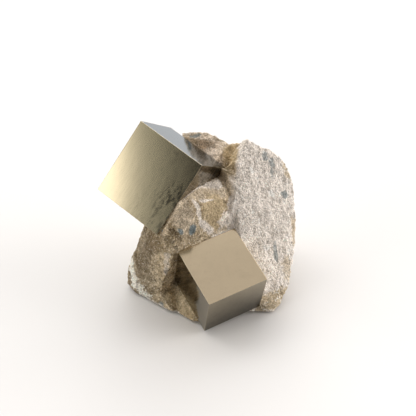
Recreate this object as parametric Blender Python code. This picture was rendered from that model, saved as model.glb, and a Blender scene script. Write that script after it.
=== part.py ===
"""Pyrite specimen: a broken block of pale marl holding two sharp pyrite cubes.

The large cube leans out over the left of the block and the small one sits low in front.
Lengths below are in millimetres. X runs right, Y away from the front, Z up.
"""

import math

import bmesh
import bpy
from mathutils import Euler, Matrix, Vector, noise

MM = 0.001

# The pyrite crystals: edge lengths, middle, and turn in degrees about X, Y and Z.
LARGE_CUBE_SIZE = (23.5, 24.6, 23.8)
LARGE_CUBE_MIDDLE = (-13.49, 27.69, 38.64)
LARGE_CUBE_TURN = (-125.59, 17.73, -35.88)
SMALL_CUBE_SIZE = (19.75, 19.95, 17.2)
SMALL_CUBE_MIDDLE = (3.55, 9.90, 13.34)
SMALL_CUBE_TURN = (-160.22, -5.29, 28.42)
EDGE_WEAR = 0.12

# Clearance between a crystal and the socket that holds it.
SOCKET_GAP = 0.3

# Surface of the rock: longest triangle side, and height and width of its unevenness.
FACET = 3.4
RELIEF_HEIGHT = 0.4
RELIEF_WIDTH = 5.0
BASE_FADE = 2.0

# Left block, under the large cube. Corners run round each face in turn.
LEFT_TOP = [(-8.0, 47.0, 43.3), (-0.6, 46.0, 44.1), (2.5, 44.5, 43.8), (4.3, 42.0, 42.7),
            (7.4, 41.0, 42.4), (9.0, 39.0, 42.0)]
LEFT_LIP = [(-8.1, 11.5, 41.1), (-5.3, 16.0, 41.1), (0.9, 26.0, 38.5), (7.3, 22.5, 34.7)]
LEFT_FRONT = [(-15.1, 9.8, 30.4), (-9.5, 8.7, 25.8), (-9.9, 12.2, 18.5), (6.8, 17.9, 26.6)]
LEFT_SPUR = [(-13.3, 12.5, 11.0), (-15.2, 12.3, 6.0), (-3.4, 2.6, 2.2)]
LEFT_SIDE = [(-19.6, 22.0, 24.4), (-21.0, 23.0, 18.9), (-23.0, 24.0, 12.0), (-24.0, 24.0, 8.7)]
LEFT_TOE = [(-26.5, 23.4, 5.0), (-26.4, 22.0, 1.5), (-24.0, 18.7, 0.6)]
LEFT_BACK = [(-18.0, 38.0, 16.0), (-8.0, 49.5, 37.0), (3.0, 50.0, 38.0), (-13.5, 46.5, 22.0)]
LEFT_BASE = [(-24.5, 23.5, 0.0), (-19.9, 15.9, 0.0), (-15.3, 12.5, 0.0), (-5.6, 6.0, 0.0)]
LEFT_BASE_BACK = [(-18.0, 36.0, 0.0), (-9.0, 45.5, 0.0), (5.0, 48.0, 0.0), (8.0, 9.0, 0.0)]

# Right block, with the broad pale face that slopes back to the right.
RIGHT_TOP = [(9.7, 29.1, 47.5), (12.1, 31.8, 50.3), (17.8, 33.0, 46.1), (21.6, 33.9, 43.7)]
RIGHT_RIM = [(24.3, 33.8, 40.5), (26.0, 32.9, 36.8), (27.4, 31.3, 32.0), (27.8, 27.9, 24.7)]
RIGHT_LOW_RIM = [(28.0, 24.3, 17.4), (26.7, 21.2, 12.6), (26.8, 19.5, 9.1), (26.0, 17.5, 5.9)]
RIGHT_RIDGE = [(9.1, 25.7, 41.4), (8.5, 22.0, 34.7), (7.0, 17.5, 27.4), (7.5, 38.0, 44.9)]
RIGHT_LOBE = [(23.6, 14.6, 2.9), (23.2, 12.7, 0.6), (20.6, 8.8, 0.6), (17.7, 10.6, 4.0)]
RIGHT_BACK = [(19.0, 45.0, 33.0), (8.0, 48.0, 38.0), (3.0, 29.0, 37.5), (25.0, 43.0, 20.0),
              (-3.0, 47.0, 30.0), (10.0, 51.0, 16.0)]
RIGHT_BASE = [(22.5, 14.0, 0.0), (20.0, 10.0, 0.0), (17.1, 9.5, 0.0), (9.0, 9.0, 0.0)]
RIGHT_BASE_BACK = [(25.5, 20.0, 0.0), (26.5, 38.0, 0.0), (19.0, 48.0, 0.0), (-4.0, 45.0, 0.0)]

# Opening in front of the right face of the large cube, down to the lip of the rock.
# Each entry is (distance from its top edge, distance from its front edge).
SIDE_OPENING = [(-3.0, -3.0), (-3.0, 24.2), (5.2, 24.2), (5.4, 16.8), (6.9, 9.3), (9.6, 4.8), (12.8, -1.5)]
SIDE_OPENING_RUN = (8.4, -4.3, -28.5)
SIDE_FLARE = 1.25

# How far the hollow over the small cube widens, towards the back left and the right, over its height.
HOLLOW_FLARE = (2.5, 4.0)
HOLLOW_HEIGHT = 12.0

# Open recess in front of the left face of the small cube.
RECESS = [
    (-8.6, 11.4, 25.6), (-10.2, 16.6, 7.9), (-0.6, 0.6, 1.1), (0.9, -5.0, 18.0),
    (-9.6, 8.0, 27.0), (-13.6, 11.4, 11.0), (-15.6, 10.6, 5.6), (-9.8, 7.3, -0.6),
    (-4.0, -4.0, -2.0), (-3.0, -9.0, 18.0), (-12.0, 2.0, 12.0),
]


def clear_scene():
    for obj in list(bpy.data.objects):
        bpy.data.objects.remove(obj, do_unlink=True)
    for mesh in list(bpy.data.meshes):
        bpy.data.meshes.remove(mesh)


def material(name, colour, metallic, roughness):
    made = bpy.data.materials.new(name)
    made.use_nodes = True
    shader = made.node_tree.nodes["Principled BSDF"]
    shader.inputs["Base Color"].default_value = (*colour, 1.0)
    shader.inputs["Metallic"].default_value = metallic
    shader.inputs["Roughness"].default_value = roughness
    made.diffuse_color = (*colour, 1.0)
    return made


def add_object(name, bm, surface=None):
    bmesh.ops.recalc_face_normals(bm, faces=bm.faces)
    mesh = bpy.data.meshes.new(name)
    bm.to_mesh(mesh)
    bm.free()
    obj = bpy.data.objects.new(name, mesh)
    bpy.context.scene.collection.objects.link(obj)
    if surface:
        mesh.materials.append(surface)
    return obj


def add_cutter(name, bm):
    obj = add_object(name, bm)
    obj.hide_render = True
    obj.display_type = "WIRE"
    return obj


def hull_of(corners):
    """A closed convex block through the given corners."""
    bm = bmesh.new()
    for corner in corners:
        bm.verts.new(Vector(corner) * MM)
    made = bmesh.ops.convex_hull(bm, input=bm.verts)
    spare = set(made["geom_interior"]) | set(made["geom_unused"])
    bmesh.ops.delete(bm, geom=[v for v in spare if isinstance(v, bmesh.types.BMVert)], context="VERTS")
    return bm


def divide(bm, longest):
    """Splits every edge over the given length, so that the surface can be made uneven."""
    for _ in range(8):
        long_edges = [edge for edge in bm.edges if edge.calc_length() > longest * MM]
        if not long_edges:
            break
        bmesh.ops.subdivide_edges(bm, edges=long_edges, cuts=1)
        bmesh.ops.triangulate(bm, faces=bm.faces)


def roughen(bm, seed):
    """Moves the surface in and out by broken rock's unevenness, and leaves the base flat."""
    bm.normal_update()
    offset = Vector((seed, 2.0 * seed, -seed))
    moves = []
    for vert in bm.verts:
        height = vert.co.z / MM
        wave = noise.fractal(vert.co / (RELIEF_WIDTH * MM) + offset, 0.9, 2.1, 3)
        fade = min(1.0, max(0.0, height / BASE_FADE))
        moves.append(vert.normal * wave * RELIEF_HEIGHT * fade * MM)
    for vert, move in zip(bm.verts, moves):
        vert.co += move


def rock_block(name, corners, seed, make):
    bm = hull_of(corners)
    divide(bm, FACET)
    roughen(bm, seed)
    return make(name, bm)


def crystal_matrix(middle, turn):
    angles = [math.radians(angle) for angle in turn]
    return Matrix.Translation(Vector(middle) * MM) @ Euler(angles, "XYZ").to_matrix().to_4x4()


def box(size, low=(0, 0, 0), high=(0, 0, 0)):
    """A box of this size about its middle, with each side moved out by the amounts given."""
    bm = bmesh.new()
    bmesh.ops.create_cube(bm, size=1.0)
    for vert in bm.verts:
        for axis in range(3):
            half = size[axis] / 2
            side = half + high[axis] if vert.co[axis] > 0 else -half - low[axis]
            vert.co[axis] = side * MM
    return bm


def crystal(name, size, middle, turn, surface):
    bm = box(size)
    bmesh.ops.bevel(bm, geom=bm.edges, offset=EDGE_WEAR * MM, segments=1, affect="EDGES", profile=0.5)
    obj = add_object(name, bm, surface)
    obj.matrix_world = crystal_matrix(middle, turn)
    return obj


def large_socket():
    """Holds the large cube, open towards its front and over its top."""
    gap = SOCKET_GAP
    obj = add_cutter("large_socket", box(LARGE_CUBE_SIZE, (gap, 30.0, 30.0), (gap, gap, gap)))
    obj.matrix_world = crystal_matrix(LARGE_CUBE_MIDDLE, LARGE_CUBE_TURN)
    return obj


def loft(rings):
    """A closed body through matching rings of points."""
    bm = bmesh.new()
    loops = [[bm.verts.new(Vector(point) * MM) for point in ring] for ring in rings]
    bm.faces.new(loops[0])
    bm.faces.new(loops[-1])
    for near, far in zip(loops, loops[1:]):
        for i in range(len(near)):
            j = (i + 1) % len(near)
            bm.faces.new((near[i], near[j], far[j], far[i]))
    return bm


def side_opening():
    """Clears the right face of the large cube above the lip, towards the front and widening."""
    half = [length / 2 for length in LARGE_CUBE_SIZE]
    middle_b = sum(b for b, c in SIDE_OPENING) / len(SIDE_OPENING)
    middle_c = sum(c for b, c in SIDE_OPENING) / len(SIDE_OPENING)
    rings = []
    for run, flare in ((0.0, 1.0), (1.0, SIDE_FLARE)):
        ring = []
        for b, c in SIDE_OPENING:
            wide_b = middle_b + (b - middle_b) * flare - half[1]
            wide_c = middle_c + (c - middle_c) * flare - half[2]
            start = Vector((half[0] - 0.5, wide_b, wide_c))
            ring.append(start + Vector(SIDE_OPENING_RUN) * run)
        rings.append(ring)
    obj = add_cutter("side_opening_cutter", loft(rings))
    obj.matrix_world = crystal_matrix(LARGE_CUBE_MIDDLE, LARGE_CUBE_TURN)
    return obj


def small_socket():
    """Holds the small cube, with a hollow over its top that widens into the rock behind."""
    half_a, half_b, half_c = [length / 2 for length in SMALL_CUBE_SIZE]
    rings = []
    for level, flare in ((half_c + SOCKET_GAP, 0.0), (SOCKET_GAP - half_c, 0.0), (-half_c - HOLLOW_HEIGHT, 1.0)):
        right = half_a + SOCKET_GAP + HOLLOW_FLARE[0] * flare
        back = -half_b - SOCKET_GAP - HOLLOW_FLARE[1] * flare
        left = -half_a - SOCKET_GAP
        front = half_b + 20.0
        rings.append([(left, back, level), (right, back, level), (right, front, level), (left, front, level)])
    obj = add_cutter("small_socket", loft(rings))
    obj.matrix_world = crystal_matrix(SMALL_CUBE_MIDDLE, SMALL_CUBE_TURN)
    return obj


def boolean(obj, other, operation):
    made = obj.modifiers.new(other.name, "BOOLEAN")
    made.operation = operation
    made.solver = "EXACT"
    made.object = other


def matrix_rock(surface):
    left = LEFT_TOP + LEFT_LIP + LEFT_FRONT + LEFT_SPUR + LEFT_SIDE + LEFT_TOE
    left += LEFT_BACK + LEFT_BASE + LEFT_BASE_BACK
    right = RIGHT_TOP + RIGHT_RIM + RIGHT_LOW_RIM + RIGHT_RIDGE + RIGHT_LOBE
    right += RIGHT_BACK + RIGHT_BASE + RIGHT_BASE_BACK
    rock = rock_block("matrix_rock", left, 3.1, add_object)
    rock.data.materials.append(surface)
    boolean(rock, rock_block("right_block", right, 7.7, add_cutter), "UNION")
    boolean(rock, large_socket(), "DIFFERENCE")
    boolean(rock, small_socket(), "DIFFERENCE")
    boolean(rock, side_opening(), "DIFFERENCE")
    boolean(rock, add_cutter("recess_cutter", hull_of(RECESS)), "DIFFERENCE")
    return rock


def extent(objects):
    """Lowest and highest corner of the finished shapes."""
    bpy.context.view_layer.update()
    graph = bpy.context.evaluated_depsgraph_get()
    points = []
    for obj in objects:
        shape = obj.evaluated_get(graph)
        points += [shape.matrix_world @ vert.co for vert in shape.data.vertices]
    low = Vector([min(point[axis] for point in points) for axis in range(3)])
    high = Vector([max(point[axis] for point in points) for axis in range(3)])
    return low, high


def centre_on_origin(pieces):
    """Brings the middle of the base over the origin, with the rock standing at Z = 0."""
    low, high = extent(pieces)
    middle = (low + high) / 2
    shift = Matrix.Translation(Vector((-middle.x, -middle.y, -low.z)))
    for obj in bpy.data.objects:
        obj.matrix_world = shift @ obj.matrix_world


def main():
    clear_scene()
    marl = material("marl", (0.50, 0.43, 0.34), 0.0, 0.85)
    pyrite = material("pyrite", (0.62, 0.56, 0.42), 1.0, 0.2)
    rock = matrix_rock(marl)
    large = crystal("large_pyrite_cube", LARGE_CUBE_SIZE, LARGE_CUBE_MIDDLE, LARGE_CUBE_TURN, pyrite)
    small = crystal("small_pyrite_cube", SMALL_CUBE_SIZE, SMALL_CUBE_MIDDLE, SMALL_CUBE_TURN, pyrite)
    centre_on_origin([rock, large, small])


main()
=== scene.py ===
"""Pyrite specimen: two pyrite cubes in a broken block of pale marl, on a plain studio floor."""

import math

import bmesh
import bpy
import numpy as np
from mathutils import Euler, Matrix, Vector, noise


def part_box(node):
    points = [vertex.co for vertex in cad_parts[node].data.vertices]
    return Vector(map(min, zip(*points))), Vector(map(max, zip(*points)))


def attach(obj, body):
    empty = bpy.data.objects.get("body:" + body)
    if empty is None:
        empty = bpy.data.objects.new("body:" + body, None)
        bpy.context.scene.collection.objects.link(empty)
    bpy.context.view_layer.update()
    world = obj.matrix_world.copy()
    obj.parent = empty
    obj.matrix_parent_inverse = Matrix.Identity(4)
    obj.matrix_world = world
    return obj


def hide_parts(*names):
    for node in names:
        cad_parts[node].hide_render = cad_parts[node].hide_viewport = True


bl_info = {
    "name": "Pyrite Specimen",
    "version": (1, 0, 0),
    "blender": (4, 5, 0),
    "location": "View3D > Sidebar > Specimen",
    "description": "Builds a pyrite specimen: a block of marl with two pyrite cubes",
    "category": "Add Mesh",
}

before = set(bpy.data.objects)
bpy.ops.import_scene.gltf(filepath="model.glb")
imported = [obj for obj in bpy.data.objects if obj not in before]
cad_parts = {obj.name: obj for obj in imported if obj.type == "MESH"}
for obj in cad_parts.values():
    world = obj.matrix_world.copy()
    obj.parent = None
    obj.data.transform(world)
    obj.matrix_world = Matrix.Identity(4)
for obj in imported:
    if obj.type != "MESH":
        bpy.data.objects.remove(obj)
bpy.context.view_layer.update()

MM = 0.001
LARGE_CUBE_SIZE = (23.5, 24.6, 23.8)
LARGE_CUBE_TURN = (-125.59, 17.73, -35.88)
SMALL_CUBE_SIZE = (19.75, 19.95, 17.2)
SMALL_CUBE_TURN = (-160.22, -5.29, 28.42)

# Where the eye stands, in millimetres from the middle of the large cube, and its tilt.
EYE_FROM_LARGE_CUBE = (13.49, -228.79, 155.16)
EYE_TILT = 54.0
SENSOR_WIDTH = 36.0

# The faces of each crystal that the marl grips, as axis and side, and how far off the
# stone is drawn in, in millimetres.
HELD_FACES = (
    ("large_pyrite_cube", LARGE_CUBE_TURN, LARGE_CUBE_SIZE, ((0, 1), (1, 1), (2, 1)), 4.0),
    ("small_pyrite_cube", SMALL_CUBE_TURN, SMALL_CUBE_SIZE, ((0, 1), (1, -1)), 4.5),
)

# The way the streaks run down the broad pale face, in degrees.
STREAK_TURN = (25.0, -10.0, 0.0)

# Colours of the marl. The fourth number is how grainy that stone looks.
PALE = (0.875, 0.79, 0.705, 0.8)
CHALK = (0.95, 0.91, 0.85, 0.4)
FLAKE = (1.0, 0.93, 0.81, 0.9)
FAWN = (0.63, 0.52, 0.385, 0.7)
BUFF = (0.58, 0.46, 0.30, 1.0)
BROWN = (0.37, 0.275, 0.155, 1.0)
OCHRE = (0.56, 0.435, 0.265, 0.45)
UMBER = (0.22, 0.155, 0.085, 0.8)
SLATE = (0.19, 0.235, 0.245, 0.4)
PINK = (0.66, 0.55, 0.44, 1.0)

# Stains and veins in the marl, each a stroke from one point to another:
# start, end, radius, colour, strength, raggedness. Lengths are in millimetres.
STROKES = [
    # Brown hollow and granular shoulder behind the large cube.
    ((2.0, 19.0, 42.0), (5.0, 16.0, 41.0), 4.0, PINK, 0.8, 0.5),
    ((10.5, 15.0, 42.0), (10.0, 9.0, 44.0), 3.6, OCHRE, 0.9, 0.25),
    ((8.0, 13.0, 39.5), (11.0, 7.0, 42.0), 1.1, UMBER, 0.35, 0.5),
    ((-2.6, 22.0, 43.4), (-0.6, 22.2, 43.6), 0.9, SLATE, 0.75, 0.6),
    # Fawn stone left of the ochre patch, and under the side of the large cube.
    ((-4.6, -10.0, 38.0), (-3.2, -9.8, 31.0), 3.2, FAWN, 0.85, 0.4),
    ((-1.5, -6.5, 40.0), (6.5, -0.5, 38.0), 2.6, FAWN, 0.8, 0.4),
    # Ochre patch in the middle, with the pale veins round it.
    ((4.5, -5.0, 35.5), (4.5, -5.2, 30.5), 4.2, OCHRE, 0.85, 0.2),
    ((-0.6, -8.2, 39.0), (0.8, -8.0, 31.0), 0.7, PALE, 0.85, 0.35),
    ((0.8, -8.0, 31.0), (5.0, -6.0, 25.2), 1.1, PALE, 0.95, 0.4),
    ((0.5, -6.5, 38.2), (9.5, -1.0, 36.4), 0.5, PALE, 0.9, 0.3),
    ((8.6, -3.6, 29.5), (7.0, -5.0, 25.5), 2.3, PALE, 0.85, 0.6),
    # Pale lip under the side of the large cube, and the crumbly pocket beside it.
    ((-3.5, -7.5, 41.0), (0.2, -2.7, 40.6), 1.2, PALE, 0.9, 0.3),
    ((0.2, -2.7, 40.6), (5.6, 1.6, 38.8), 1.3, PALE, 0.9, 0.3),
    ((7.4, 5.0, 40.0), (9.2, 3.0, 37.8), 2.0, FAWN, 0.8, 0.5),
    ((10.2, -0.2, 34.4), (9.8, -2.0, 30.0), 1.6, PALE, 0.8, 0.5),
    ((8.0, -5.0, 27.0), (-1.0, -9.6, 25.6), 1.1, BUFF, 0.8, 0.6),
    # Darker iron stain above the small cube, and high on the left.
    ((-7.0, -11.5, 27.8), (-2.0, -10.2, 27.2), 2.6, UMBER, 0.30, 0.6),
    ((-18.0, -6.0, 21.5), (-12.5, -11.0, 24.5), 3.0, UMBER, 0.25, 0.5),
    # Slate-blue grains.
    ((-5.2, -11.2, 30.2), (-5.0, -11.2, 29.6), 0.75, SLATE, 0.9, 0.4),
    ((-1.6, -9.3, 30.0), (-1.9, -9.4, 28.9), 1.0, SLATE, 0.95, 0.5),
    ((-10.7, -12.8, 31.8), (-10.2, -12.6, 31.6), 0.7, SLATE, 0.9, 0.5),
    ((20.0, 9.2, 45.0), (20.4, 8.9, 43.6), 0.8, SLATE, 0.7, 0.7),
    ((22.0, 9.0, 42.6), (22.3, 8.6, 41.2), 1.0, SLATE, 0.7, 0.7),
    ((22.4, 7.6, 40.0), (22.2, 7.0, 37.6), 0.6, SLATE, 0.6, 0.7),
    ((26.3, 6.1, 32.0), (27.2, 6.4, 31.4), 1.1, SLATE, 0.75, 0.6),
    ((23.0, -2.6, 19.6), (24.9, -6.2, 13.6), 0.75, SLATE, 0.7, 0.4),
    ((27.4, 7.8, 36.5), (28.0, 7.4, 35.6), 0.8, SLATE, 0.6, 0.6),
    ((-12.4, -11.2, 2.2), (-11.9, -11.4, 2.0), 0.7, SLATE, 0.8, 0.5),
    ((-19.9, -3.8, 20.6), (-19.7, -4.0, 20.0), 0.7, SLATE, 0.7, 0.5),
    # Chalky grains on the broad pale face.
    ((15.7, 5.3, 42.6), (15.9, 5.1, 41.6), 0.6, CHALK, 0.9, 0.5),
    ((22.1, 4.4, 34.2), (22.6, 4.3, 33.4), 0.75, CHALK, 0.9, 0.5),
    ((20.2, -4.5, 19.6), (21.0, -4.8, 19.3), 0.8, CHALK, 0.9, 0.5),
    ((24.4, 8.4, 43.0), (25.4, 8.9, 42.6), 0.8, CHALK, 0.8, 0.5),
    ((16.5, -1.2, 31.2), (17.0, -1.6, 29.8), 0.55, CHALK, 0.8, 0.6),
    # Iron stain along the right rim and on the low lobe.
    ((26.8, 11.0, 42.0), (28.6, 9.2, 36.6), 1.5, OCHRE, 0.75, 0.5),
    ((30.2, 4.5, 29.0), (30.2, 1.6, 17.0), 1.4, OCHRE, 0.7, 0.6),
    ((27.2, -3.5, 13.0), (27.6, -4.6, 7.5), 1.8, BUFF, 0.6, 0.6),
    ((20.5, -12.4, 3.6), (26.0, -8.8, 3.2), 3.4, BUFF, 0.95, 0.4),
    # Left foot: chalky flake, dark umber painted as shade in its hollows, and the yellowish
    # strip by the small cube.
    ((-15.0, -10.2, 25.5), (-18.5, -7.0, 15.0), 3.2, UMBER, 0.45, 0.5),
    ((-13.5, -10.8, 15.5), (-11.0, -13.0, 22.0), 2.6, BUFF, 0.6, 0.6),
    ((-23.4, -0.9, 11.0), (-21.4, -4.0, 5.0), 2.3, FLAKE, 1.0, 0.6),
    ((-21.4, -4.0, 5.0), (-17.4, -7.3, 2.2), 2.1, FLAKE, 1.0, 0.8),
    # Painted shade of a hollow beside the flake.
    ((-19.6, -5.4, 14.8), (-18.6, -6.6, 10.5), 1.5, UMBER, 0.55, 0.5),
    ((-11.2, -10.0, 12.5), (-8.8, -9.4, 5.5), 3.2, BUFF, 0.8, 0.5),
    ((-8.0, -10.5, 5.0), (-3.4, -16.5, 1.2), 2.6, OCHRE, 0.6, 0.4),
    ((-15.0, -9.4, 1.2), (-7.0, -14.4, 0.9), 0.55, CHALK, 0.75, 0.35),
    ((-9.7, -14.3, 24.0), (-9.8, -13.6, 16.0), 1.0, PALE, 0.45, 0.6),
]

# Small hollows beside the large cube: middle, radius and the way the stone is pressed,
# in millimetres.
HOLLOWS = (
    ((2.4, 0.4, 40.6), 3.6, (0.0, -0.1, -0.7)),
    ((5.2, 4.2, 40.2), 4.4, (1.0, 2.3, -1.9)),
    ((8.0, 7.0, 39.6), 2.6, (0.1, -0.9, 0.5)),
)

# Where the ridge between the brown side and the broad pale face runs at a height of 30 mm.
RIDGE = 9.7

# Widths of the unevenness that is modelled on the marl, in millimetres.
LUMP_WIDTH = 4.5
CHIP_WIDTH = 2.3
BREAK_WIDTH = 1.5
GRAIN_WIDTH = 0.8
STREAK_WIDTHS = (0.8, 0.8, 4.0)
SLAB_WIDTHS = (8.0, 8.0, 6.0)

# Widths of what is painted on the marl, in millimetres.
BLOTCH_WIDTH = 6.0
MOTTLE_WIDTH = 1.6
RAGGED_WIDTH = 1.3
CLUMP_WIDTH = 0.9
SPECKLE_WIDTH = 0.55
PAINTED_STREAK_WIDTHS = (0.5, 0.5, 3.6)

# How far the stone stays off a crystal, how far its foot is drawn in as a share of its
# width, how far the shoulder leans back and how steeply the wall behind the small cube tilts.
CRYSTAL_CLEARANCE = 0.03
FOOT_SHARE = 0.07
SHOULDER_LEAN = 0.50
WALL_SLOPE = 0.16

# Speckle of the marl and of the floor: grains per metre and contrast.
SANDY_GRAIN = (1900.0, 3.0)
STREAKY_GRAIN = (2700.0, 2.8)
FINE_GRAIN = (4200.0, 2.4)
PAPER_FIBRE = (400.0, 0.3)

# Share of the finest grain, the level of stone without grain, and the darkest and
# lightest that the grain makes the marl's colour.
FINE_SHARE = 0.28
PLAIN_LEVEL = 0.55
DARKEST_GRAIN = 0.60
LIGHTEST_GRAIN = 1.42
MARL_BUMP = 0.00018

# Finish of each crystal: growth lines per metre, their height in metres, how far its
# painted tarnish and painted shade darken it all over, and how far it darkens it in marks.
RIPPLED = {"lines": 900.0, "line_height": 0.0000014, "tarnish_and_shade": 0.2, "marks": 1.3}
BRIGHT = {"lines": 500.0, "line_height": 0.0000006, "tarnish_and_shade": 0.8, "marks": 0.1}

# Clouds and dark marks of the tarnish per metre, how strong the clouds are, how dark full
# tarnish is against clean pyrite, and how much rougher it is.
TARNISH_CLOUDS = 190.0
TARNISH_MARKS = 620.0
CLOUD_STRENGTH = 0.05
TARNISHED_SHARE = 0.22
TARNISHED_ROUGHNESS = 0.03

# Marks on the front face of the large crystal, in millimetres from its topmost corner:
# middle and radii of the etched patch and of the pit.
ETCHED_PATCH = ((21.0, 15.0), (4.2, 8.5))
PIT = ((14.6, 1.5), (0.9, 0.6))

# Heights of the growth marks on the crystals' faces, in millimetres.
SWELL_HEIGHT = 0.0006
FRONT_LINE_HEIGHT = 0.0016
ETCHING_DEPTH = 0.0006
TOP_RIPPLE_HEIGHT = 0.0016
SIDE_RIPPLE_HEIGHT = 0.003
SMALL_SWELL_HEIGHT = 0.0012


# ---------------------------------------------------------------- settings

class RockSettings(bpy.types.PropertyGroup):
    """Sizes of the marl's broken surface."""

    detail: bpy.props.FloatProperty(
        name="Detail", description="Spacing of the surface's points",
        default=0.37 * MM, min=0.2 * MM, max=2 * MM, unit="LENGTH", precision=5,
    )
    lump_height: bpy.props.FloatProperty(
        name="Lumps", description="Height of the broad unevenness",
        default=0.40 * MM, min=0.0, max=2 * MM, unit="LENGTH", precision=5,
    )
    chip_height: bpy.props.FloatProperty(
        name="Chips", description="Height of the chipped, angular breaks",
        default=0.60 * MM, min=0.0, max=2 * MM, unit="LENGTH", precision=5,
    )
    slab_height: bpy.props.FloatProperty(
        name="Slabs", description="Depth of the large breaks on the far side",
        default=1.2 * MM, min=0.0, max=3 * MM, unit="LENGTH", precision=5,
    )
    grain_height: bpy.props.FloatProperty(
        name="Grain", description="Height of the sandy grain",
        default=0.20 * MM, min=0.0, max=1 * MM, unit="LENGTH", precision=5,
    )
    roughness: bpy.props.FloatProperty(
        name="Roughness", description="Roughness of the marl",
        default=0.82, min=0.0, max=1.0, subtype="FACTOR",
    )


class PyriteSettings(bpy.types.PropertyGroup):
    """Finish of the crystal faces."""

    colour: bpy.props.FloatVectorProperty(
        name="Colour", description="Colour of bright pyrite",
        default=(0.60, 0.50, 0.345), min=0.0, max=1.0, size=3, subtype="COLOR",
    )
    grazing_colour: bpy.props.FloatVectorProperty(
        name="Grazing colour", description="Tint of a face seen almost edge-on",
        default=(0.50, 0.58, 0.70), min=0.0, max=1.0, size=3, subtype="COLOR",
    )
    roughness: bpy.props.FloatProperty(
        name="Roughness", description="Roughness of a clean face",
        default=0.10, min=0.0, max=1.0, subtype="FACTOR",
    )
    edge_wear: bpy.props.FloatProperty(
        name="Edge wear", description="Width of the worn edges",
        default=0.06 * MM, min=0.0, max=1 * MM, unit="LENGTH", precision=5,
    )
    divisions: bpy.props.IntProperty(
        name="Divisions", description="Divisions along each edge of a crystal",
        default=84, min=4, max=110,
    )


class StageSettings(bpy.types.PropertyGroup):
    """Floor, light and eye."""

    floor_colour: bpy.props.FloatVectorProperty(
        name="Floor", description="Colour of the floor",
        default=(0.70, 0.685, 0.67), min=0.0, max=1.0, size=3, subtype="COLOR",
    )
    floor_size: bpy.props.FloatProperty(
        name="Floor size", description="Side of the floor",
        default=4.0, min=0.2, max=20.0, unit="LENGTH",
    )
    brightness: bpy.props.FloatProperty(
        name="Brightness", description="Strength of all the studio light",
        default=1.0, min=0.0, max=5.0,
    )
    lens: bpy.props.FloatProperty(
        name="Lens", description="Focal length", default=77.9, min=10.0, max=300.0,
    )


class SpecimenSettings(bpy.types.PropertyGroup):
    """All the settings of the specimen."""

    rock: bpy.props.PointerProperty(type=RockSettings)
    pyrite: bpy.props.PointerProperty(type=PyriteSettings)
    stage: bpy.props.PointerProperty(type=StageSettings)


# ---------------------------------------------------------------- helpers

def middle_of(node):
    low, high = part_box(node)
    return (low + high) / 2


def radians_of(turn):
    return [math.radians(angle) for angle in turn]


def crystal_matrix(node, turn):
    """The place of a crystal: its middle, and its edges along X, Y and Z."""
    turned = Euler(radians_of(turn), "XYZ").to_matrix().to_4x4()
    return Matrix.Translation(middle_of(node)) @ turned


def add_piece(name, bm, surface):
    mesh = bpy.data.meshes.new(name)
    bm.to_mesh(mesh)
    bm.free()
    piece = bpy.data.objects.new(name, mesh)
    bpy.context.scene.collection.objects.link(piece)
    mesh.materials.append(surface)
    return piece


def smoothstep(low, high, value):
    """Rises smoothly from 0 at low to 1 at high."""
    t = np.clip((value - low) / (high - low), 0.0, 1.0)
    return t * t * (3.0 - 2.0 * t)


def ramp(value):
    """The value kept from 0 to 1."""
    return max(0.0, min(1.0, value))


# ---------------------------------------------------------------- shader groups

def add_node(tree, kind, x, y, **settings):
    made = tree.nodes.new(kind)
    made.location = (x, y)
    for key, value in settings.items():
        setattr(made, key, value)
    return made


def group_socket(group, name, direction, kind, default=None):
    socket = group.interface.new_socket(name=name, in_out=direction, socket_type=kind)
    if default is not None:
        socket.default_value = default
    return socket


def grain_group():
    """Fine sandy speckle: a mask round 0.5 and a height."""
    group = bpy.data.node_groups.get("sandy_grain")
    if group:
        return group
    group = bpy.data.node_groups.new("sandy_grain", "ShaderNodeTree")
    group_socket(group, "Vector", "INPUT", "NodeSocketVector")
    group_socket(group, "Grains per metre", "INPUT", "NodeSocketFloat", 2500.0)
    group_socket(group, "Contrast", "INPUT", "NodeSocketFloat", 1.0)
    group_socket(group, "Mask", "OUTPUT", "NodeSocketFloat")
    group_socket(group, "Height", "OUTPUT", "NodeSocketFloat")
    inside = add_node(group, "NodeGroupInput", -800, 0)
    outside = add_node(group, "NodeGroupOutput", 500, 0)
    clouds = add_node(group, "ShaderNodeTexNoise", -500, 150)
    clouds.inputs["Detail"].default_value = 4.0
    clouds.inputs["Roughness"].default_value = 0.65
    cells = add_node(group, "ShaderNodeTexVoronoi", -500, -150)
    mix = add_node(group, "ShaderNodeMath", -250, 0, operation="MULTIPLY_ADD")
    mix.inputs[1].default_value = -0.45
    shift = add_node(group, "ShaderNodeMath", -60, 0, operation="SUBTRACT")
    shift.inputs[1].default_value = 0.29
    gain = add_node(group, "ShaderNodeMath", 120, 0, operation="MULTIPLY_ADD")
    gain.inputs[2].default_value = 0.5
    link = group.links.new
    link(inside.outputs["Vector"], clouds.inputs["Vector"])
    link(inside.outputs["Vector"], cells.inputs["Vector"])
    link(inside.outputs["Grains per metre"], clouds.inputs["Scale"])
    link(inside.outputs["Grains per metre"], cells.inputs["Scale"])
    link(cells.outputs["Distance"], mix.inputs[0])
    link(clouds.outputs["Fac"], mix.inputs[2])
    link(mix.outputs[0], shift.inputs[0])
    link(shift.outputs[0], gain.inputs[0])
    link(inside.outputs["Contrast"], gain.inputs[1])
    link(gain.outputs[0], outside.inputs["Mask"])
    link(mix.outputs[0], outside.inputs["Height"])
    return group


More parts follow.
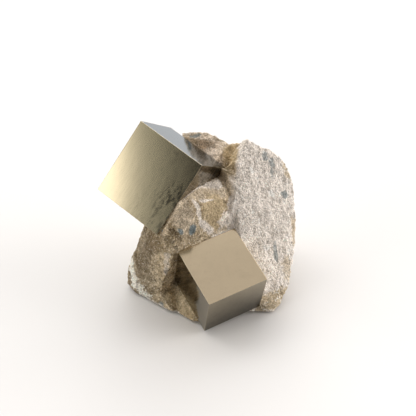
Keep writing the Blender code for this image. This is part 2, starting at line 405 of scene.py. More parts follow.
def growth_group():
    """Fine growth lines along one edge of a crystal, and clouds and streaks of tarnish."""
    group = bpy.data.node_groups.get("growth_lines")
    if group:
        return group
    group = bpy.data.node_groups.new("growth_lines", "ShaderNodeTree")
    group_socket(group, "Vector", "INPUT", "NodeSocketVector")
    group_socket(group, "Lines per metre", "INPUT", "NodeSocketFloat", 900.0)
    group_socket(group, "Height", "OUTPUT", "NodeSocketFloat")
    group_socket(group, "Tarnish", "OUTPUT", "NodeSocketFloat")
    group_socket(group, "Streaks", "OUTPUT", "NodeSocketFloat")
    inside = add_node(group, "NodeGroupInput", -900, 0)
    outside = add_node(group, "NodeGroupOutput", 500, 0)
    stretch = add_node(group, "ShaderNodeVectorMath", -700, 150, operation="MULTIPLY")
    stretch.inputs[1].default_value = (1.0, 0.14, 1.0)
    lines = add_node(group, "ShaderNodeTexNoise", -450, 150)
    lines.inputs["Detail"].default_value = 3.0
    stain = add_node(group, "ShaderNodeTexNoise", -450, -150)
    stain.inputs["Scale"].default_value = TARNISH_CLOUDS
    stain.inputs["Detail"].default_value = 5.0
    stain.inputs["Roughness"].default_value = 0.6
    spread = add_node(group, "ShaderNodeMapRange", -150, -150)
    spread.inputs["From Min"].default_value = 0.42
    spread.inputs["From Max"].default_value = 0.72
    wander = add_node(group, "ShaderNodeVectorMath", -700, -400, operation="MULTIPLY")
    wander.inputs[1].default_value = (1.0, 0.35, 1.0)
    marks = add_node(group, "ShaderNodeTexNoise", -450, -400)
    marks.inputs["Scale"].default_value = TARNISH_MARKS
    marks.inputs["Detail"].default_value = 4.0
    marks.inputs["Distortion"].default_value = 0.8
    darks = add_node(group, "ShaderNodeMapRange", -150, -400)
    darks.inputs["From Min"].default_value = 0.44
    darks.inputs["From Max"].default_value = 0.60
    link = group.links.new
    link(inside.outputs["Vector"], wander.inputs[0])
    link(wander.outputs[0], marks.inputs["Vector"])
    link(marks.outputs["Fac"], darks.inputs["Value"])
    link(darks.outputs["Result"], outside.inputs["Streaks"])
    link(inside.outputs["Vector"], stretch.inputs[0])
    link(stretch.outputs[0], lines.inputs["Vector"])
    link(inside.outputs["Lines per metre"], lines.inputs["Scale"])
    link(inside.outputs["Vector"], stain.inputs["Vector"])
    link(stain.outputs["Fac"], spread.inputs["Value"])
    link(lines.outputs["Fac"], outside.inputs["Height"])
    link(spread.outputs["Result"], outside.inputs["Tarnish"])
    return group


def use_group(tree, group, x, y):
    made = add_node(tree, "ShaderNodeGroup", x, y)
    made.node_tree = group
    return made


def use_grain(tree, grain, x, y):
    """Places the sandy speckle with its grains per metre and contrast."""
    made = use_group(tree, grain_group(), x, y)
    made.inputs["Grains per metre"].default_value = grain[0]
    made.inputs["Contrast"].default_value = grain[1]
    return made


# ---------------------------------------------------------------- materials

def new_material(name):
    made = bpy.data.materials.new(name)
    made.use_nodes = True
    return made, made.node_tree, made.node_tree.nodes["Principled BSDF"]


def marl_material(settings):
    """Rough broken marl: painted stains with painted shade and glints, sand in the brown stone,
    streaks in the pale stone.
    """
    made, tree, shader = new_material("marl_broken")
    link = tree.links.new
    shader.inputs["Roughness"].default_value = settings.roughness
    shader.inputs["Specular IOR Level"].default_value = 0.3
    place = add_node(tree, "ShaderNodeTexCoord", -1900, 0)
    paint = add_node(tree, "ShaderNodeAttribute", -900, 400, attribute_name="stone_colour_and_shade")
    pale = add_node(tree, "ShaderNodeAttribute", -900, 600, attribute_name="pale_stone")
    streak = add_node(tree, "ShaderNodeMapping", -1650, 200, vector_type="TEXTURE")
    streak.inputs["Rotation"].default_value = radians_of(STREAK_TURN)
    streak.inputs["Scale"].default_value = (1.0, 1.0, 5.0)
    sandy = use_grain(tree, SANDY_GRAIN, -1400, -100)
    streaky = use_grain(tree, STREAKY_GRAIN, -1400, 200)
    fine = use_grain(tree, FINE_GRAIN, -1400, -400)
    which = add_node(tree, "ShaderNodeMix", -1100, 100, data_type="FLOAT")
    blend = add_node(tree, "ShaderNodeMix", -900, 0, data_type="FLOAT")
    blend.inputs["Factor"].default_value = FINE_SHARE
    calm = add_node(tree, "ShaderNodeMix", -780, 0, data_type="FLOAT")
    calm.inputs["A"].default_value = PLAIN_LEVEL
    shade = add_node(tree, "ShaderNodeMapRange", -600, 0)
    shade.inputs["To Min"].default_value = DARKEST_GRAIN
    shade.inputs["To Max"].default_value = LIGHTEST_GRAIN
    darken = add_node(tree, "ShaderNodeVectorMath", -400, 200, operation="SCALE")
    fleck = add_node(tree, "ShaderNodeMapRange", -650, -250)
    fleck.inputs["From Min"].default_value = 0.72
    fleck.inputs["From Max"].default_value = 0.95
    fleck.inputs["To Max"].default_value = 0.55
    whiten = add_node(tree, "ShaderNodeMix", -200, 200, data_type="RGBA")
    whiten.inputs["B"].default_value = (*CHALK[:3], 1.0)
    height = add_node(tree, "ShaderNodeMath", -900, -300, operation="ADD")
    bump = add_node(tree, "ShaderNodeBump", -400, -200)
    bump.inputs["Strength"].default_value = 1.0
    bump.inputs["Distance"].default_value = MARL_BUMP
    link(place.outputs["Object"], streak.inputs["Vector"])
    link(place.outputs["Object"], sandy.inputs["Vector"])
    link(place.outputs["Object"], fine.inputs["Vector"])
    link(streak.outputs["Vector"], streaky.inputs["Vector"])
    link(pale.outputs["Fac"], which.inputs["Factor"])
    link(sandy.outputs["Mask"], which.inputs["A"])
    link(streaky.outputs["Mask"], which.inputs["B"])
    link(which.outputs["Result"], blend.inputs["A"])
    link(fine.outputs["Mask"], blend.inputs["B"])
    link(paint.outputs["Alpha"], calm.inputs["Factor"])
    link(blend.outputs["Result"], calm.inputs["B"])
    link(calm.outputs["Result"], shade.inputs["Value"])
    link(calm.outputs["Result"], fleck.inputs["Value"])
    link(paint.outputs["Color"], darken.inputs[0])
    link(shade.outputs["Result"], darken.inputs["Scale"])
    link(darken.outputs[0], whiten.inputs["A"])
    link(fleck.outputs["Result"], whiten.inputs["Factor"])
    link(whiten.outputs["Result"], shader.inputs["Base Color"])
    link(which.outputs["Result"], height.inputs[0])
    link(fine.outputs["Height"], height.inputs[1])
    link(height.outputs[0], bump.inputs["Height"])
    link(bump.outputs["Normal"], shader.inputs["Normal"])
    return made


def pyrite_material(name, settings, node, turn, lines, line_height, tarnish_and_shade, marks):
    """Bright crystal face with growth lines along one edge, and painted dark tarnish and
    painted shade.
    """
    made, tree, shader = new_material(name)
    link = tree.links.new
    shader.inputs["Metallic"].default_value = 1.0
    shader.inputs["Specular Tint"].default_value = (*settings.grazing_colour, 1.0)
    place = add_node(tree, "ShaderNodeTexCoord", -1500, 0)
    turned = add_node(tree, "ShaderNodeMapping", -1300, 0, vector_type="TEXTURE")
    turned.inputs["Location"].default_value = middle_of(node)
    turned.inputs["Rotation"].default_value = radians_of(turn)
    growth = use_group(tree, growth_group(), -1000, 100)
    growth.inputs["Lines per metre"].default_value = lines
    # Painted tarnish, and on the small crystal's front painted shade.
    painted = add_node(tree, "ShaderNodeAttribute", -1000, -500, attribute_name="tarnish")
    cloud = add_node(tree, "ShaderNodeMath", -750, 100, operation="MULTIPLY")
    cloud.inputs[1].default_value = CLOUD_STRENGTH
    broken = add_node(tree, "ShaderNodeMath", -850, -300, operation="MULTIPLY")
    weigh = add_node(tree, "ShaderNodeMath", -750, -300, operation="MULTIPLY")
    weigh.inputs[1].default_value = marks
    join = add_node(tree, "ShaderNodeMath", -650, -150, operation="ADD")
    both = add_node(tree, "ShaderNodeMath", -550, -50, operation="MULTIPLY_ADD")
    both.use_clamp = True
    both.inputs[1].default_value = tarnish_and_shade
    tint = add_node(tree, "ShaderNodeMix", -300, 250, data_type="RGBA")
    tint.inputs["A"].default_value = (*settings.colour, 1.0)
    tarnished = [TARNISHED_SHARE * part for part in settings.colour]
    tint.inputs["B"].default_value = (*tarnished, 1.0)
    blur = add_node(tree, "ShaderNodeMapRange", -300, -50)
    blur.inputs["To Min"].default_value = settings.roughness
    blur.inputs["To Max"].default_value = settings.roughness + TARNISHED_ROUGHNESS
    bump = add_node(tree, "ShaderNodeBump", -300, -300)
    bump.inputs["Strength"].default_value = 1.0
    bump.inputs["Distance"].default_value = line_height
    link(place.outputs["Object"], turned.inputs["Vector"])
    link(turned.outputs["Vector"], growth.inputs["Vector"])
    link(growth.outputs["Tarnish"], cloud.inputs[0])
    link(painted.outputs["Fac"], broken.inputs[0])
    link(growth.outputs["Streaks"], broken.inputs[1])
    link(broken.outputs[0], weigh.inputs[0])
    link(cloud.outputs[0], join.inputs[0])
    link(weigh.outputs[0], join.inputs[1])
    link(painted.outputs["Fac"], both.inputs[0])
    link(join.outputs[0], both.inputs[2])
    link(both.outputs[0], tint.inputs["Factor"])
    link(tint.outputs["Result"], shader.inputs["Base Color"])
    link(both.outputs[0], blur.inputs["Value"])
    link(blur.outputs["Result"], shader.inputs["Roughness"])
    link(growth.outputs["Height"], bump.inputs["Height"])
    link(bump.outputs["Normal"], shader.inputs["Normal"])
    return made


def floor_material(settings):
    """Plain matt paper floor with a trace of fibre."""
    made, tree, shader = new_material("studio_paper")
    link = tree.links.new
    shader.inputs["Roughness"].default_value = 0.9
    shader.inputs["Specular IOR Level"].default_value = 0.1
    place = add_node(tree, "ShaderNodeTexCoord", -900, 0)
    fibre = use_grain(tree, PAPER_FIBRE, -650, 0)
    tint = add_node(tree, "ShaderNodeMix", -300, 100, data_type="RGBA")
    darker = [0.985 * part for part in settings.floor_colour]
    tint.inputs["A"].default_value = (*darker, 1.0)
    tint.inputs["B"].default_value = (*settings.floor_colour, 1.0)
    link(place.outputs["Object"], fibre.inputs["Vector"])
    link(fibre.outputs["Mask"], tint.inputs["Factor"])
    link(tint.outputs["Result"], shader.inputs["Base Color"])
    return made


# ---------------------------------------------------------------- marl block

def dense_copy(node, spacing):
    """An evenly meshed copy of a CAD node, ready to be shaped."""
    bm = bmesh.new()
    bm.from_mesh(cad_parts[node].data)
    bmesh.ops.remove_doubles(bm, verts=bm.verts, dist=1e-6)
    bmesh.ops.recalc_face_normals(bm, faces=bm.faces)
    mesh = bpy.data.meshes.new("rough_block")
    bm.to_mesh(mesh)
    bm.free()
    block = bpy.data.objects.new("rough_block", mesh)
    bpy.context.scene.collection.objects.link(block)
    remesh = block.modifiers.new("even", "REMESH")
    remesh.mode = "VOXEL"
    remesh.voxel_size = spacing
    graph = bpy.context.evaluated_depsgraph_get()
    dense = bpy.data.meshes.new_from_object(block.evaluated_get(graph))
    bpy.data.objects.remove(block)
    return dense


def read_points(mesh):
    """Points and normals of a mesh, in millimetres."""
    points = np.empty(len(mesh.vertices) * 3)
    mesh.vertices.foreach_get("co", points)
    normals = np.empty(len(mesh.vertices) * 3)
    mesh.vertex_normals.foreach_get("vector", normals)
    return points.reshape(-1, 3) / MM, normals.reshape(-1, 3)


def sample(function, points, scale, offset=0.0):
    """A noise function at every point, with a different width along each axis."""
    scaled = points / np.asarray(scale, float) + offset
    return np.array([function(Vector(point)) for point in scaled])


def turbulence(point):
    return noise.fractal(point, 0.8, 2.1, 4)


def chips(point):
    """Angular cells: 0 at their middles, rising to their borders."""
    return noise.voronoi(point)[0][0]


def sharp_breaks(point):
    """0 along the borders between angular cells, rising away from them."""
    near = noise.voronoi(point)[0]
    return near[1] - near[0]


def along_stroke(points, start, end):
    """Distance of every point from the line between start and end."""
    start, end = np.array(start), np.array(end)
    line = end - start
    length = max(float(line @ line), 1e-9)
    t = np.clip((points - start) @ line / length, 0.0, 1.0)
    return np.linalg.norm(points - (start + t[:, None] * line), axis=1)


def along_streaks(points):
    """The points seen along the streaks, which then run along Z."""
    turn = Euler(radians_of(STREAK_TURN), "XYZ").to_matrix()
    return points @ np.array(turn)


def pale_side(points):
    """1 on the broad pale face to the right of the ridge, 0 on the brown side."""
    x, y, z = points.T
    ridge = RIDGE + 0.10 * (z - 30.0) + 0.07 * (y + 2.0) * (z < 26.0)
    front = smoothstep(-0.7, 0.7, x - ridge)
    behind = smoothstep(12.0, 22.0, y)
    return front * (1.0 - 0.6 * behind) + 0.35 * behind


def far_side(normals):
    """1 on the stone that faces right and back, where the marl is painted darker and less pale
    as shade against the strong lights behind and at the right.
    """
    return smoothstep(0.25, 0.7, normals @ np.array([0.75, 0.66, 0.0]))


def paint_marl(points, normals):
    """Colour and graininess of the marl at every point, with painted shade on its lower left
    and on the stone facing right and back, and painted glints among its white grains.
    """
    broad = sample(turbulence, points, BLOTCH_WIDTH, 3.0)
    mottle = sample(turbulence, points, MOTTLE_WIDTH, 9.0)
    speckle = sample(noise.noise, points, SPECKLE_WIDTH, 5.0)
    streaks = sample(turbulence, along_streaks(points), PAINTED_STREAK_WIDTHS, 31.0)
    ragged = sample(turbulence, points, RAGGED_WIDTH, 21.0)
    clumps = sample(noise.noise, points, CLUMP_WIDTH, 41.0)
    pale = np.clip(pale_side(points) + 0.12 * mottle, 0.0, 1.0)[:, None]
    mixed = smoothstep(-0.5, 0.5, broad + 0.5 * mottle)[:, None]
    brown = np.array(BROWN) * (1.0 - mixed) + np.array(BUFF) * mixed
    # The stone facing right and back is painted darker and less pale: painted shade against the
    # strong lights behind and at the right.
    far = far_side(normals)
    pale = pale * (1.0 - 0.55 * far)[:, None]
    paint = brown * (1.0 - pale) + np.array(PALE) * pale
    for start, end, radius, stain, strength, rough in STROKES:
        distance = along_stroke(points, start, end) / radius + rough * ragged
        weight = (strength * smoothstep(1.15, 0.75, distance))[:, None]
        paint = paint * (1.0 - weight) + np.array(stain) * weight
    # Painted shade: the lower left of the stone, lit hard by the panel at the left, is darkened
    # below.
    left = smoothstep(-12.0, -17.0, points[:, 0]) * smoothstep(34.0, 27.0, points[:, 2])
    chalky = np.clip((paint[:, 2] - 0.62) / 0.2, 0.0, 1.0)
    grain = paint[:, 3]
    side = pale[:, 0]
    speckle = speckle * (1.0 - 0.75 * side) + 0.9 * streaks * side
    rough = (0.36 - 0.18 * side) * grain
    speckled = (0.18 + 0.10 * side) * grain * speckle
    shade = 1.0 + rough * mottle + speckled + 0.12 * broad * side
    # Painted shade on the lower left, kept off the chalky flake.
    left_shade = 1.0 - 0.30 * left * (1.0 - chalky)
    # Painted shade on the stone facing right and back.
    far_shade = 1.0 - 0.28 * far
    paint[:, :3] *= (shade * left_shade * far_shade)[:, None]
    # White clumps of chalk, and fine white grains that are partly chalk and partly painted
    # glints.
    white_clumps = 0.8 * side * smoothstep(0.40, 0.52, clumps)
    white_grains_and_glints = smoothstep(0.46, 0.66, speckle + 0.25 * mottle) * (0.18 + 0.55 * side)
    white = np.clip((white_clumps + white_grains_and_glints) * grain, 0.0, 0.9)[:, None]
    paint = paint * (1.0 - white) + np.array(CHALK) * white
    paint[:, 3] = grain
    return np.clip(paint, 0.02, 1.0)


def seen_from(matrix, points):
    """The points as seen from the middle of a crystal, along its edges."""
    return (points - np.array(matrix.translation) / MM) @ np.array(matrix.to_3x3())


def back_from(matrix, local):
    """Undoes seen_from."""
    return local @ np.array(matrix.to_3x3()).T + np.array(matrix.translation) / MM


def keep_out(points, matrix, size):
    """Moves any point that is inside a crystal out to its nearest face."""
    local = seen_from(matrix, points)
    half = np.array(size) / 2 + CRYSTAL_CLEARANCE
    depth = half - np.abs(local)
    inside = (depth > 0).all(axis=1)
    axis = depth.argmin(axis=1)
    rows = np.flatnonzero(inside)
    columns = axis[rows]
    side = np.where(local[rows, columns] < 0, -1.0, 1.0)
    local[rows, columns] = side * half[columns]
    return back_from(matrix, local)


def close_up(points, matrix, size, faces, reach):
    """Draws the stone in against the given faces of a crystal, so that no gap shows."""
    local = seen_from(matrix, points)
    half = np.array(size) / 2
    nearest = np.clip(local, -half, half)
    away = local - nearest
    distance = np.maximum(np.linalg.norm(away, axis=1), 1e-9)
    towards = sum(np.maximum(side * away[:, axis], 0.0) ** 2 for axis, side in faces)
    share = towards / distance ** 2
    pulled = distance * smoothstep(0.3 * reach, reach, distance)
    wanted = distance + (pulled - distance) * share
    return back_from(matrix, nearest + away * (wanted / distance)[:, None])


def seal_side(points, normals, matrix, size):
    """Brings the stone that faces the right side of the large crystal up against it."""
    local = seen_from(matrix, points)
    gap = local[:, 0] - size[0] / 2
    facing = smoothstep(0.05, 0.4, -(normals @ np.array(matrix.to_3x3())[:, 0]))
    near = smoothstep(8.0, 6.0, gap) * (gap > 0)
    along = smoothstep(size[2] / 2 + 0.5, size[2] / 2 - 2.0, np.abs(local[:, 2]))
    down = smoothstep(-size[1] / 2 - 1.0, -size[1] / 2 + 1.0, local[:, 1])
    local[:, 0] -= 0.97 * np.maximum(gap, 0.0) * facing * near * along * down
    return back_from(matrix, local)


def press(points, middle, radius, shift):
    """Presses the stone near a place, most at its middle."""
    distance = np.linalg.norm(points - np.array(middle), axis=1)
    return points + smoothstep(radius, 0.25 * radius, distance)[:, None] * np.array(shift)


def open_wall(points, matrix, size):
    """Tilts back the wall of stone that stands behind the top of the small crystal."""
    local = seen_from(matrix, points)
    above = -size[2] / 2 - local[:, 2]
    behind = -size[1] / 2 - local[:, 1]
    near = smoothstep(7.0, 1.5, behind) * smoothstep(-2.0, 0.5, behind)
    along = smoothstep(-14.0, -9.0, local[:, 0]) * smoothstep(14.0, 10.0, local[:, 0])
    upper = np.clip(above, 0.0, 14.0) * smoothstep(18.0, 12.0, above)
    back = WALL_SLOPE * upper * near * along
    return points - back[:, None] * np.array(matrix.to_3x3())[:, 1]


def lean_back(points):
    """Leans the shoulder behind the large crystal away from it."""
    x, y, z = points.T
    shoulder = smoothstep(8.0, 5.0, x) * smoothstep(36.0, 40.0, z) * smoothstep(15.0, 18.0, y)
    back = SHOULDER_LEAN * shoulder * np.clip(28.2 - y, 0.0, 11.0)
    return points + np.stack([np.zeros_like(x), back, -0.61 * back], axis=1)


def undercut(points):
    """Draws the foot of the stone in, so that its edge stands a little off the floor."""
    foot = FOOT_SHARE * smoothstep(0.9, 0.4, points[:, 2])
    points = points.copy()
    points[:, :2] *= 1.0 - foot[:, None]
    points[:, 2] = np.maximum(points[:, 2], 0.0)
    return points


def shape_marl(points, normals, settings):
    """Height of the broken surface over the plain block, in millimetres."""
    pale = pale_side(points)
    lumps = sample(turbulence, points, LUMP_WIDTH)
    angular = sample(chips, points, CHIP_WIDTH, 4.0)
    breaks = sample(sharp_breaks, points, BREAK_WIDTH, 8.0)
    grain = sample(turbulence, points, GRAIN_WIDTH, 13.0)
    streaks = sample(turbulence, along_streaks(points), STREAK_WIDTHS, 17.0)
    slabs = sample(chips, points, SLAB_WIDTHS, 2.0)
    height = settings.lump_height / MM * lumps
    height += settings.chip_height / MM * (angular - 0.45) * (1.0 - 0.55 * pale)
    height -= 0.30 * settings.chip_height / MM * smoothstep(0.25, 0.0, breaks)
    height += settings.grain_height / MM * (grain * (1.0 - 0.3 * pale) + 0.9 * streaks * pale)
    height -= settings.slab_height / MM * smoothstep(0.15, 0.65, slabs) * far_side(normals)
    return height * smoothstep(0.2, 1.8, points[:, 2])


class SPECIMEN_OT_marl(bpy.types.Operator):
    """Build the broken block of marl."""

    bl_idname = "specimen.build_marl"
    bl_label = "Marl block"

    def execute(self, context):
        settings = context.scene.specimen.rock
        mesh = dense_copy("matrix_rock", settings.detail)
        large_place = crystal_matrix("large_pyrite_cube", LARGE_CUBE_TURN)
        small_place = crystal_matrix("small_pyrite_cube", SMALL_CUBE_TURN)
        points, normals = read_points(mesh)
        height = shape_marl(points, normals, settings)
        colour = paint_marl(points, normals)
        pale = pale_side(points)
        points = points + normals * height[:, None]
        points = lean_back(open_wall(points, small_place, SMALL_CUBE_SIZE))
        points = seal_side(points, normals, large_place, LARGE_CUBE_SIZE)
        for hollow in HOLLOWS:
            points = press(points, *hollow)
        for node, turn, size, faces, reach in HELD_FACES:
            place = crystal_matrix(node, turn)
            points = keep_out(close_up(points, place, size, faces, reach), place, size)
        points = undercut(points)
        mesh.vertices.foreach_set("co", (points * MM).ravel())
        mesh.update()
        # The marl's colour, with its painted shade and painted glints.
        paint = mesh.color_attributes.new("stone_colour_and_shade", "FLOAT_COLOR", "POINT")
        paint.data.foreach_set("color", colour.ravel())
        streaky = mesh.attributes.new("pale_stone", "FLOAT", "POINT")
        streaky.data.foreach_set("value", pale)
        mesh.name = "marl_block"
        block = bpy.data.objects.new("marl_block", mesh)
        context.scene.collection.objects.link(block)
        mesh.materials.clear()
        mesh.materials.append(marl_material(settings))
        mesh.shade_smooth()
        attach(block, "root")
        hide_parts("matrix_rock")
        print("marl block:", len(mesh.polygons), "faces")
        return {"FINISHED"}


# ---------------------------------------------------------------- crystals

def divided_cube(size, wear, divisions):
    """A cube with worn edges and finely divided faces, about its own middle."""
    bm = bmesh.new()
    bmesh.ops.create_cube(bm, size=1.0)
    bmesh.ops.scale(bm, vec=Vector(size) * MM, verts=bm.verts)
    bmesh.ops.bevel(
        bm, geom=bm.edges, offset=wear, segments=2, affect="EDGES", profile=0.5, material=-1
    )
    long_edges = [edge for edge in bm.edges if edge.calc_length() > 2 * MM]
    bmesh.ops.subdivide_edges(bm, edges=long_edges, cuts=divisions - 1, use_grid_fill=True)
    bmesh.ops.recalc_face_normals(bm, faces=bm.faces)
    return bm


def face_of(point, half):
    """The axis and side of the crystal face that a point lies on, or None on a worn edge."""
    for axis in range(3):
        if abs(abs(point[axis]) - half[axis]) < 1e-4:
            return axis, 1.0 if point[axis] > 0 else -1.0
    return None


def large_face_height(a, b, c, axis, side):
    """Growth ripples and etched marks on the large crystal, in millimetres."""
    swell = noise.fractal(Vector((a * 0.13, b * 0.13, c * 0.13)), 1.0, 2.0, 2)
    height = SWELL_HEIGHT * swell
    if axis == 2 and side < 0:
        wander = noise.noise(Vector((a * 0.2, b * 0.2, 1.0)))
        lines = noise.fractal(Vector((a * 0.75 + 1.4 * wander, b * 0.1, 2.0)), 1.0, 2.0, 2)
        height += FRONT_LINE_HEIGHT * lines * (0.15 + 0.85 * right_part(a))
        height -= ETCHING_DEPTH * etching(a, b)
    elif axis == 1:
        ripple = noise.fractal(Vector((a * 0.5, c * 0.2, 3.0)), 0.9, 2.0, 3)
        height += TOP_RIPPLE_HEIGHT * ripple
    else:
        ripple = noise.fractal(Vector((b * 0.15, c * 0.6, a)), 0.9, 2.0, 3)
        height += SIDE_RIPPLE_HEIGHT * ripple
    return height


def off_spot(a, b, middle, radii):
    """How far off a spot's middle a place is, with 1 on its rim."""
    return math.hypot((a - middle[0]) / radii[0], (b - middle[1]) / radii[1])


def right_part(a):
    """0 on the left of the large crystal's front face, 1 on its right."""
    return ramp((a - 8.0) / 10.0)


def etching(a, b):
    """Etched marks near the lower right of the front face, one pit and faint scratches."""
    patch = off_spot(a, b, *ETCHED_PATCH)
    pit = off_spot(a, b, *PIT)
    drift = 0.8 * noise.noise(Vector((a * 0.25, b * 0.25, 6.0)))
    marks = noise.fractal(Vector((a * 1.1 + drift, b * 0.4, 5.0)), 0.7, 2.2, 4)
    depth = max(0.0, 1.0 - patch * patch) * ramp(3.4 * marks + 0.45)
    scratch = noise.noise(Vector((a * 1.3, b * 0.35, 8.0)))
    faint = 0.225 * max(0.0, 1.0 - abs(scratch) * 9.0) * ramp((a - 10.0) / 8.0)
    return max(depth, 1.2 * max(0.0, 1.0 - pit * pit), faint)


def large_face_tarnish(a, b, c, axis, side):
    """How dark the large crystal is tarnished."""
    if axis == 2 and side < 0:
        edge = ramp((a - 20.5) / 3.0)
        return min(1.0, etching(a, b) + 0.5 * edge * edge + 0.05 * right_part(a))
    if axis == 0:
        clouds = noise.fractal(Vector((b * 0.3, c * 0.7, 4.0)), 0.8, 2.0, 3)
        return 0.25 + 0.5 * max(0.0, clouds)
    return 0.0


def small_face_height(a, b, c, axis, side):
    """Very slight ripple on the small crystal, in millimetres."""
    swell = noise.fractal(Vector((a * 0.15, b * 0.15, c * 0.15)), 1.0, 2.0, 2)
    return SMALL_SWELL_HEIGHT * swell


def small_face_tarnish_and_shade(a, b, c, axis, side):
    """Faint scratches on the small crystal, and painted shade on its front, darker towards the
    bottom.
    """
    # Painted shade: the front face darkens towards the bottom, standing in for the darker
    # reflection of the shadowed floor below it.
    if axis == 1 and side > 0:
        return 0.22 + 0.036 * c
    scratch = noise.noise(Vector((a * 0.25 + b * 0.1, b * 1.9 - a * 0.6, c * 0.4)))
    worn = noise.fractal(Vector((a * 0.3, b * 0.3, c * 0.3)), 0.9, 2.0, 3)
    return max(0.0, 0.08 * max(0.0, 1.0 - abs(scratch) * 22.0) + 0.04 * worn)


def finish_faces(bm, size, height_at, tarnish_and_shade_at):
    """Moves each point of the crystal's faces in or out, and paints its tarnish and painted
    shade.
    """
    half = [length / 2 for length in size]
    layer = bm.verts.layers.float.new("tarnish")
    for vert in bm.verts:
        point = vert.co / MM
        face = face_of(point, half)
        if face is None:
            continue
        axis, side = face
        spot = [point[i] + half[i] for i in range(3)]
        vert[layer] = tarnish_and_shade_at(*spot, axis, side)
        vert.co[axis] += side * height_at(*spot, axis, side) * MM


def build_crystal(name, node, size, turn, settings, height_at, tarnish_and_shade_at, surface):
    bm = divided_cube(size, settings.edge_wear, settings.divisions)
    finish_faces(bm, size, height_at, tarnish_and_shade_at)
    bmesh.ops.transform(bm, matrix=crystal_matrix(node, turn), verts=bm.verts)
    piece = add_piece(name, bm, surface)
    piece.data.shade_smooth()
    piece.data.set_sharp_from_angle(angle=math.radians(20.0))
    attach(piece, "root")
    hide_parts(node)


class SPECIMEN_OT_crystals(bpy.types.Operator):
    """Build the two pyrite cubes."""

    bl_idname = "specimen.build_crystals"
    bl_label = "Pyrite cubes"

    def execute(self, context):
        settings = context.scene.specimen.pyrite
        build_crystal(
            "large_cube", "large_pyrite_cube", LARGE_CUBE_SIZE, LARGE_CUBE_TURN, settings,
            large_face_height, large_face_tarnish,
            pyrite_material(
                "pyrite_rippled", settings, "large_pyrite_cube", LARGE_CUBE_TURN, **RIPPLED
            ),
        )
        build_crystal(
            "small_cube", "small_pyrite_cube", SMALL_CUBE_SIZE, SMALL_CUBE_TURN, settings,
            small_face_height, small_face_tarnish_and_shade,
            pyrite_material(
                "pyrite_bright", settings, "small_pyrite_cube", SMALL_CUBE_TURN, **BRIGHT
            ),
        )
        return {"FINISHED"}


# ---------------------------------------------------------------- stage

# Studio light: azimuth and elevation of the middle, in degrees, with azimuth 0 in front and
# 90 to the left; full and faded radius in degrees; strength; colour.
SOFT_LIGHTS = [
    (0.0, 90.0, 20.0, 38.0, 0.72, (1.0, 0.96, 0.95)),
    (78.0, 60.0, 8.0, 28.0, 0.80, (1.0, 0.97, 0.95)),
    (-70.0, 48.0, 8.0, 28.0, 0.85, (1.0, 0.98, 0.96)),
    (120.0, 50.0, 8.0, 30.0, 2.70, (1.0, 0.98, 0.97)),
    (180.0, 50.0, 8.0, 30.0, 2.10, (0.99, 0.99, 1.0)),
    (180.0, 15.0, 10.0, 30.0, 4.60, (0.98, 0.99, 1.0)),
    (-135.0, 15.0, 10.0, 30.0, 4.20, (1.0, 0.99, 0.98)),
    (-90.0, 15.0, 10.0, 30.0, 5.60, (1.0, 0.98, 0.97)),
    (72.5, 16.0, 21.4, 23.0, 2.20, (1.0, 1.0, 0.98)),
    (72.5, 16.0, 22.6, 27.4, 0.43, (0.93, 1.0, 0.92)),
]
ROOM_LIGHT = (0.035, 0.035, 0.032)


def direction_to(azimuth, elevation):
    """The direction that points from the specimen to a light."""
    a, e = math.radians(azimuth), math.radians(elevation)
    return (-math.sin(a) * math.cos(e), -math.cos(a) * math.cos(e), math.sin(e))


def spot_mask(tree, place, azimuth, elevation, full, faded, y):
    """1 near a direction, fading to 0 away from it."""
    towards = add_node(tree, "ShaderNodeVectorMath", -900, y, operation="DOT_PRODUCT")
    towards.inputs[1].default_value = direction_to(azimuth, elevation)
    tree.links.new(place, towards.inputs[0])
    fade = add_node(tree, "ShaderNodeMapRange", -700, y, interpolation_type="SMOOTHSTEP")
    fade.inputs["From Min"].default_value = math.cos(math.radians(faded))
    fade.inputs["From Max"].default_value = math.cos(math.radians(full))
    tree.links.new(towards.outputs["Value"], fade.inputs["Value"])
    return fade.outputs["Result"]


def studio_light(settings):
    """Soft panels overhead, at the left, at the right and behind, in a dark room."""
    world = bpy.data.worlds.new("soft_studio")
    bpy.context.scene.world = world
    world.use_nodes = True
    tree = world.node_tree
    tree.nodes.clear()
    place = add_node(tree, "ShaderNodeTexCoord", -1200, 0).outputs["Generated"]
    total = None
    for i, (azimuth, elevation, full, faded, strength, colour) in enumerate(SOFT_LIGHTS):
        y = 100 - 300 * i
        panel = add_node(tree, "ShaderNodeVectorMath", -450, y, operation="SCALE")
        panel.inputs[0].default_value = [strength * part for part in colour]
        mask = spot_mask(tree, place, azimuth, elevation, full, faded, y)
        tree.links.new(mask, panel.inputs["Scale"])
        joined = add_node(tree, "ShaderNodeVectorMath", -200 + 150 * i, y, operation="ADD")
        joined.inputs[0].default_value = ROOM_LIGHT
        if total:
            tree.links.new(total.outputs[0], joined.inputs[0])
        tree.links.new(panel.outputs[0], joined.inputs[1])
        total = joined
    glow = add_node(tree, "ShaderNodeBackground", 400, 0)
    glow.inputs["Strength"].default_value = settings.brightness
    tree.links.new(total.outputs[0], glow.inputs["Color"])
    plain = add_node(tree, "ShaderNodeBackground", 400, -200)
    plain.inputs["Color"].default_value = (1.0, 1.0, 1.0, 1.0)
    seen = add_node(tree, "ShaderNodeLightPath", 400, 300)
    choose = add_node(tree, "ShaderNodeMixShader", 650, 0)
    tree.links.new(seen.outputs["Is Camera Ray"], choose.inputs[0])
    tree.links.new(glow.outputs[0], choose.inputs[1])
    tree.links.new(plain.outputs[0], choose.inputs[2])
    end = add_node(tree, "ShaderNodeOutputWorld", 850, 0)
    tree.links.new(choose.outputs[0], end.inputs["Surface"])


def studio_floor(settings):
    bm = bmesh.new()
    bmesh.ops.create_grid(bm, x_segments=2, y_segments=2, size=settings.floor_size / 2)
    floor = add_piece("studio_floor", bm, floor_material(settings))


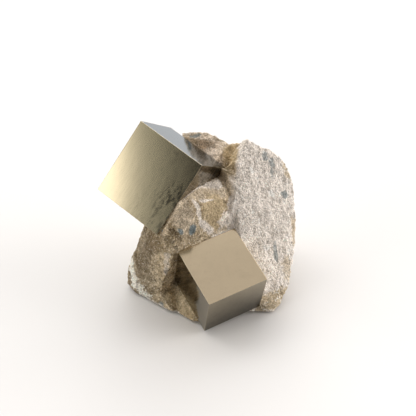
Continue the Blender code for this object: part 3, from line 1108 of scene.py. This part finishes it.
def studio_camera(settings):
    data = bpy.data.cameras.new("eye")
    data.lens = settings.lens
    data.sensor_width = SENSOR_WIDTH
    data.clip_start = 0.005
    data.clip_end = 20.0
    eye = bpy.data.objects.new("eye", data)
    bpy.context.scene.collection.objects.link(eye)
    eye.location = middle_of("large_pyrite_cube") + Vector(EYE_FROM_LARGE_CUBE) * MM
    eye.rotation_euler = (math.radians(EYE_TILT), 0.0, 0.0)
    bpy.context.scene.camera = eye


class SPECIMEN_OT_stage(bpy.types.Operator):
    """Build the floor, the soft studio light and the camera."""

    bl_idname = "specimen.build_stage"
    bl_label = "Studio"

    def execute(self, context):
        settings = context.scene.specimen.stage
        studio_floor(settings)
        studio_light(settings)
        studio_camera(settings)
        context.scene.view_settings.view_transform = "Standard"
        context.scene.view_settings.look = "None"
        return {"FINISHED"}


# ---------------------------------------------------------------- panel

class SPECIMEN_PT_panel(bpy.types.Panel):
    """Lists the steps that build the specimen."""

    bl_idname = "SPECIMEN_PT_panel"
    bl_label = "Pyrite Specimen"
    bl_space_type = "VIEW_3D"
    bl_region_type = "UI"
    bl_category = "Specimen"

    def draw(self, context):
        layout = self.layout
        settings = context.scene.specimen
        groups = {"Marl": settings.rock, "Pyrite": settings.pyrite, "Stage": settings.stage}
        for title, group in groups.items():
            box = layout.box()
            box.label(text=title)
            for name in group.bl_rna.properties.keys():
                if name not in {"rna_type", "name"}:
                    box.prop(group, name)
        for operator in BUILD_ORDER:
            layout.operator(operator.bl_idname)


BUILD_ORDER = (SPECIMEN_OT_stage, SPECIMEN_OT_marl, SPECIMEN_OT_crystals)
CLASSES = (
    RockSettings, PyriteSettings, StageSettings, SpecimenSettings,
    *BUILD_ORDER, SPECIMEN_PT_panel,
)


def register():
    for cls in CLASSES:
        bpy.utils.register_class(cls)
    bpy.types.Scene.specimen = bpy.props.PointerProperty(type=SpecimenSettings)


def unregister():
    del bpy.types.Scene.specimen
    for cls in reversed(CLASSES):
        bpy.utils.unregister_class(cls)


def main():
    register()
    bpy.ops.specimen.build_stage()
    bpy.ops.specimen.build_marl()
    bpy.ops.specimen.build_crystals()


if __name__ == "__main__":
    main()
